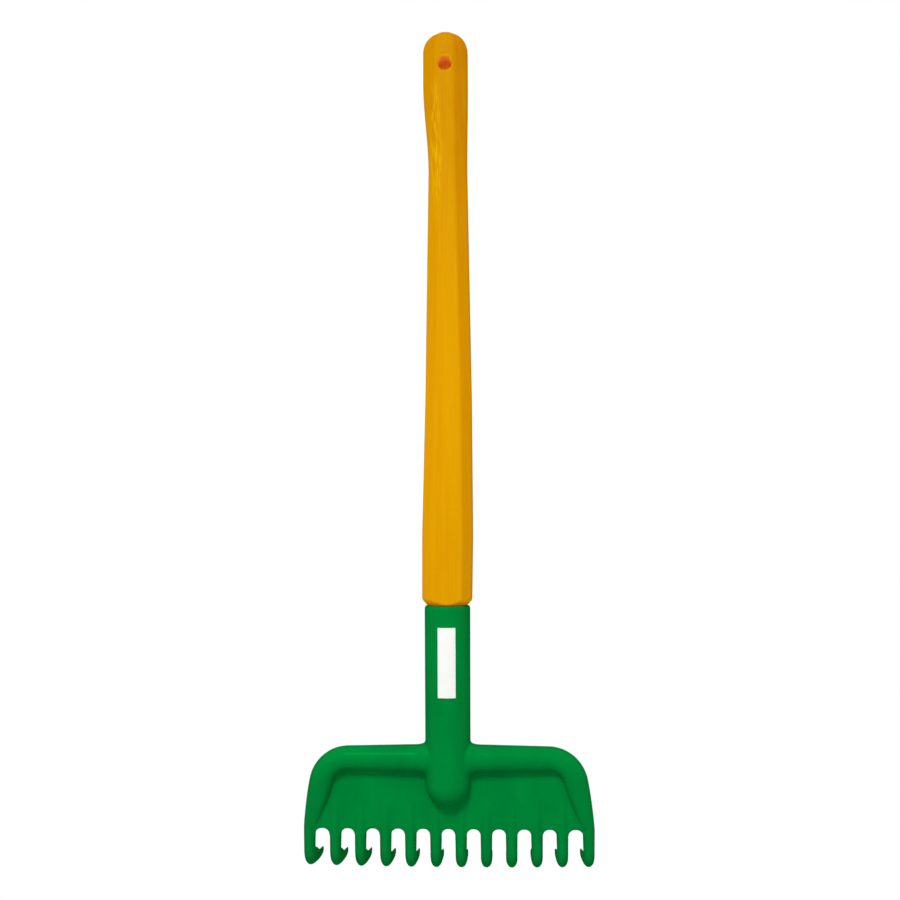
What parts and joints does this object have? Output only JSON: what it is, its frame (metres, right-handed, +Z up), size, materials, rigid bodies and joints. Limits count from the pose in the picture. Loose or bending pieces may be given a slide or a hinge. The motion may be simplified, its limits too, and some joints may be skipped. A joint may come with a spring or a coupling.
{
  "type": "kids rake",
  "caption": "Short children's garden rake: shaped wooden handle with a hang hole in the socket of a moulded head whose tines hook backwards.",
  "frame": {"origin": "middle of the hang hole through the grip", "axes": "+Z up along the handle away from the head, +Y back the way the hooks point, +X to the right seen from the front"},
  "size_m": [0.1594, 0.0538, 0.4741],
  "materials": {
    "lacquered_beech": "yellow stain under satin lacquer",
    "green_polypropylene": "satin moulded",
    "zinc_plated_steel": "bright zinc plate",
    "white_vinyl": "blank, satin"
  },
  "bodies": {
    "root": {"wooden_handle": "lacquered_beech", "rake_head": "green_polypropylene", "fixing_screw": "zinc_plated_steel", "label": "white_vinyl"}
  },
  "joints": []
}
